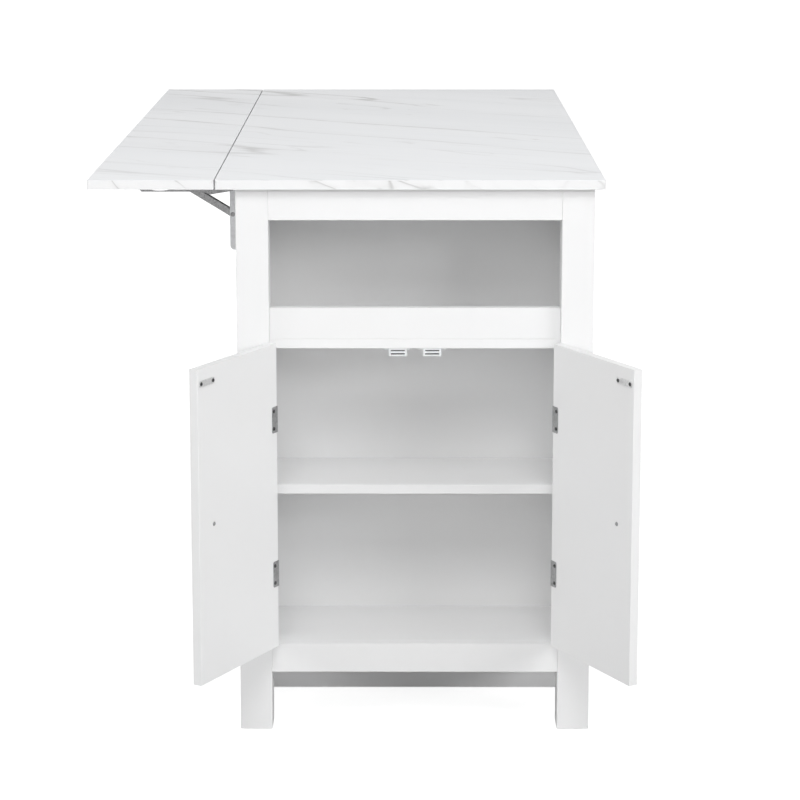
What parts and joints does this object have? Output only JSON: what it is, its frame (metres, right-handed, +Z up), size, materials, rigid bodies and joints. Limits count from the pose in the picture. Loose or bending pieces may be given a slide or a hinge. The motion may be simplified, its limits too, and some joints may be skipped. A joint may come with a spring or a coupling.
{
  "type": "drop leaf kitchen island",
  "caption": "White kitchen island with a marble-pattern top, a side leaf that folds down on slotted steel brackets, an open niche and a cupboard with hinged doors in one end.",
  "frame": {"origin": "on the floor under the middle of the outline, with the leaf raised and both doors open", "axes": "+X across the island, away from the leaf; +Y along the island, from the cupboard end to the far end; +Z up"},
  "size_m": [0.8442, 1.5794, 0.893],
  "materials": {
    "white_board": "satin white-faced board",
    "marble_laminate": "satin laminate printed as white marble with soft grey veins",
    "zinc_steel": "zinc-plated sheet steel",
    "white_plastic": "moulded white plastic",
    "knob_metal": "satin nickel"
  },
  "bodies": {
    "island": {"front_left_leg": "white_board", "front_right_leg": "white_board", "rear_left_leg": "white_board", "rear_right_leg": "white_board", "foot_glides": "white_plastic", "main_top": "marble_laminate", "front_top_rail": "white_board", "rear_top_rail": "white_board", "front_bottom_rail": "white_board", "rear_bottom_rail": "white_board", "niche_rail": "white_board", "niche_shelf": "white_board", "middle_shelf": "white_board", "cupboard_floor": "white_board", "shelf_pins": "zinc_steel", "partition": "white_board", "left_end_side": "white_board", "right_end_side": "white_board", "left_side_panel": "white_board", "right_side_panel": "white_board", "rear_panel": "white_board", "main_floor": "white_board", "centre_divider": "white_board", "catch_bodies": "white_plastic", "catch_plates": "zinc_steel", "catch_screws": "zinc_steel", "leg_hinge_leaves": "zinc_steel", "leg_hinge_screws": "zinc_steel", "hinge_pins": "zinc_steel", "wall_channels": "zinc_steel", "channel_screws": "zinc_steel", "brace_rivets": "zinc_steel", "arm_pivots": "zinc_steel"},
    "leaf": {"drop_leaf": "marble_laminate", "bracket_arms": "zinc_steel", "arm_screws": "zinc_steel"},
    "front_folding_brace": {"front_brace": "zinc_steel", "front_slot_pin": "zinc_steel"},
    "middle_folding_brace": {"middle_brace": "zinc_steel", "middle_slot_pin": "zinc_steel"},
    "rear_folding_brace": {"rear_brace": "zinc_steel", "rear_slot_pin": "zinc_steel"},
    "left_swinging_door": {"left_door": "white_board", "left_door_hinges": "zinc_steel", "left_door_screws": "zinc_steel", "left_strike_plate": "zinc_steel", "left_knob": "knob_metal", "left_knob_screw": "zinc_steel"},
    "right_swinging_door": {"right_door": "white_board", "right_door_hinges": "zinc_steel", "right_door_screws": "zinc_steel", "right_strike_plate": "zinc_steel", "right_knob": "knob_metal", "right_knob_screw": "zinc_steel"}
  },
  "joints": [
    {"name": "leaf_fold", "type": "hinge", "parent": "island", "child": "leaf", "pos_m": [-0.20812, 0.09724, 0.865], "axis": [0, -1, 0], "range_deg": [0, 90]},
    {"name": "front_brace_turn", "type": "hinge", "parent": "island", "child": "front_folding_brace", "pos_m": [-0.20562, -0.47076, 0.8225], "axis": [0, -1, 0], "range_deg": [0, 116.1]},
    {"name": "middle_brace_turn", "type": "hinge", "parent": "island", "child": "middle_folding_brace", "pos_m": [-0.20562, 0.09724, 0.8225], "axis": [0, -1, 0], "range_deg": [0, 116.1]},
    {"name": "rear_brace_turn", "type": "hinge", "parent": "island", "child": "rear_folding_brace", "pos_m": [-0.20562, 0.66524, 0.8225], "axis": [0, -1, 0], "range_deg": [0, 116.1]},
    {"name": "left_door_swing", "type": "hinge", "parent": "island", "child": "left_swinging_door", "pos_m": [-0.14562, -0.58246, 0.3905], "axis": [0, 0, 1], "range_deg": [-30, 118.8]},
    {"name": "right_door_swing", "type": "hinge", "parent": "island", "child": "right_swinging_door", "pos_m": [0.31338, -0.58246, 0.3905], "axis": [0, 0, 1], "range_deg": [-118.8, 30]}
  ],
  "couplings": [
    {"joint": "front_brace_turn", "follows": "leaf_fold", "ratio": 1.29},
    {"joint": "middle_brace_turn", "follows": "leaf_fold", "ratio": 1.29},
    {"joint": "rear_brace_turn", "follows": "leaf_fold", "ratio": 1.29}
  ]
}
